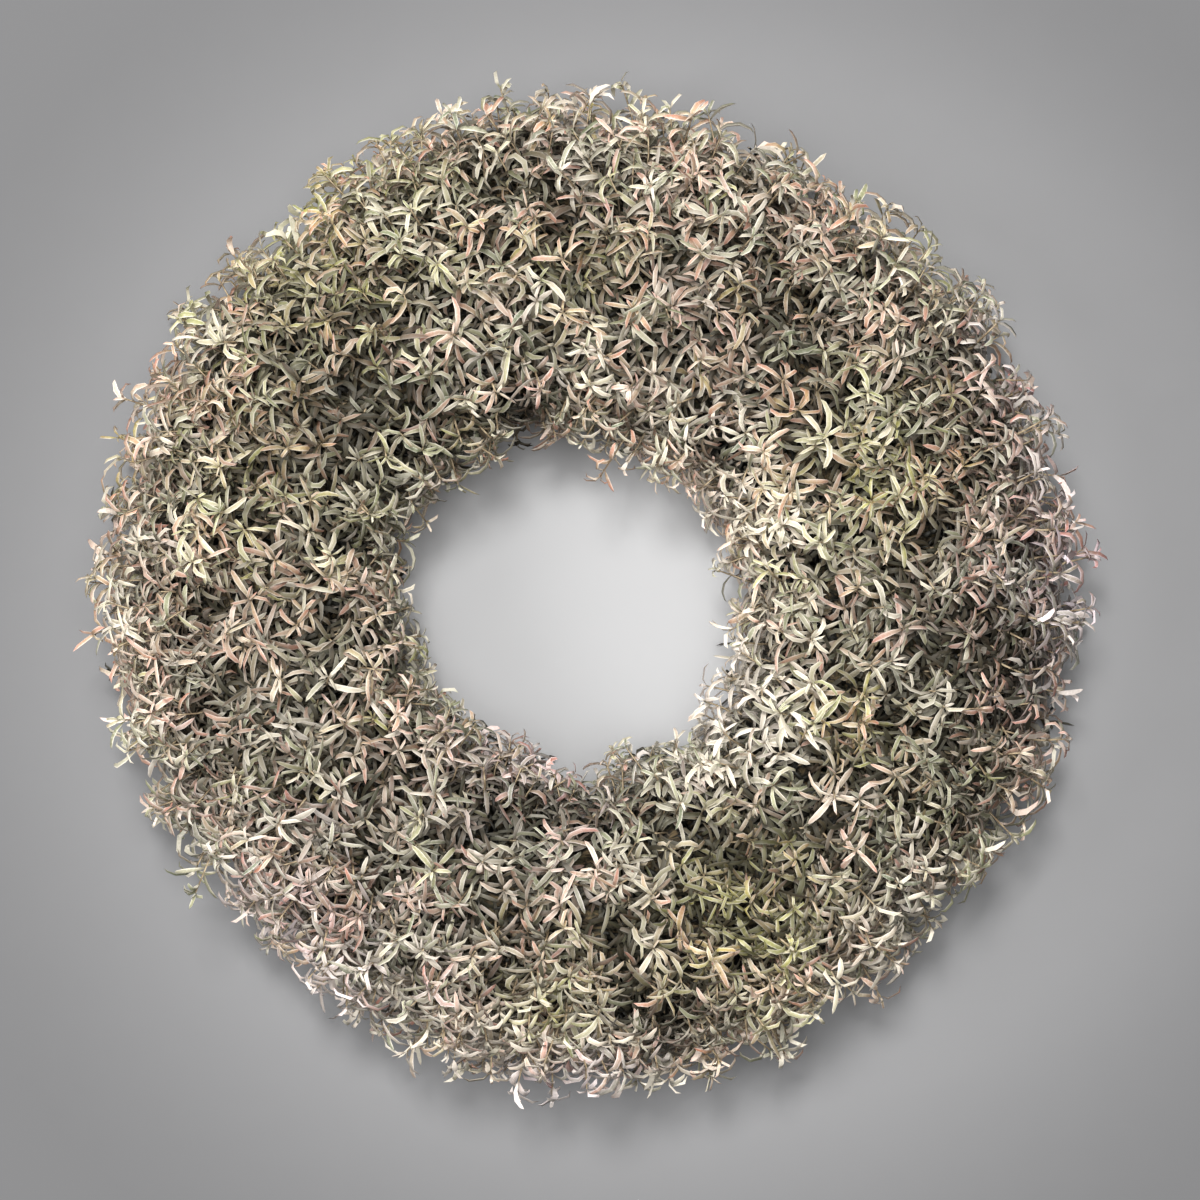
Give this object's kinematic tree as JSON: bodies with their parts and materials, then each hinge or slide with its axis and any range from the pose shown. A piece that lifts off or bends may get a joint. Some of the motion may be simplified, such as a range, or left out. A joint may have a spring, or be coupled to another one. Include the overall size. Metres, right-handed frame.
{
  "type": "thyme wreath",
  "caption": "A round wreath of dried thyme: bunches of small grey-green leaves bound with wire on a straw ring, lying on its flat back with an open centre.",
  "frame": {"origin": "On the surface that the wreath lies on, under the middle of its outline seen from the front.", "axes": "+Z out of the wreath's front, away from the wall or table behind it; +Y towards its top when it hangs; +X to the right as it is looked at."},
  "size_m": [0.4081, 0.4074, 0.1018],
  "materials": {
    "straw": "dry straw, matt",
    "wire": "green lacquer, satin",
    "thyme": "dried leaves, powdery and matt"
  },
  "bodies": {
    "root": {"straw_ring": "straw", "binding_wire": "wire", "thyme_bunch_01": "thyme", "thyme_bunch_02": "thyme", "thyme_bunch_03": "thyme", "thyme_bunch_04": "thyme", "thyme_bunch_05": "thyme", "thyme_bunch_06": "thyme", "thyme_bunch_07": "thyme", "thyme_bunch_08": "thyme", "thyme_bunch_09": "thyme", "thyme_bunch_10": "thyme", "thyme_bunch_11": "thyme", "thyme_bunch_12": "thyme", "thyme_bunch_13": "thyme", "thyme_bunch_14": "thyme", "thyme_bunch_15": "thyme", "thyme_bunch_16": "thyme", "thyme_bunch_17": "thyme", "thyme_bunch_18": "thyme", "thyme_bunch_19": "thyme", "thyme_bunch_20": "thyme", "thyme_bunch_21": "thyme", "thyme_bunch_22": "thyme", "thyme_bunch_23": "thyme", "thyme_bunch_24": "thyme"}
  },
  "joints": []
}
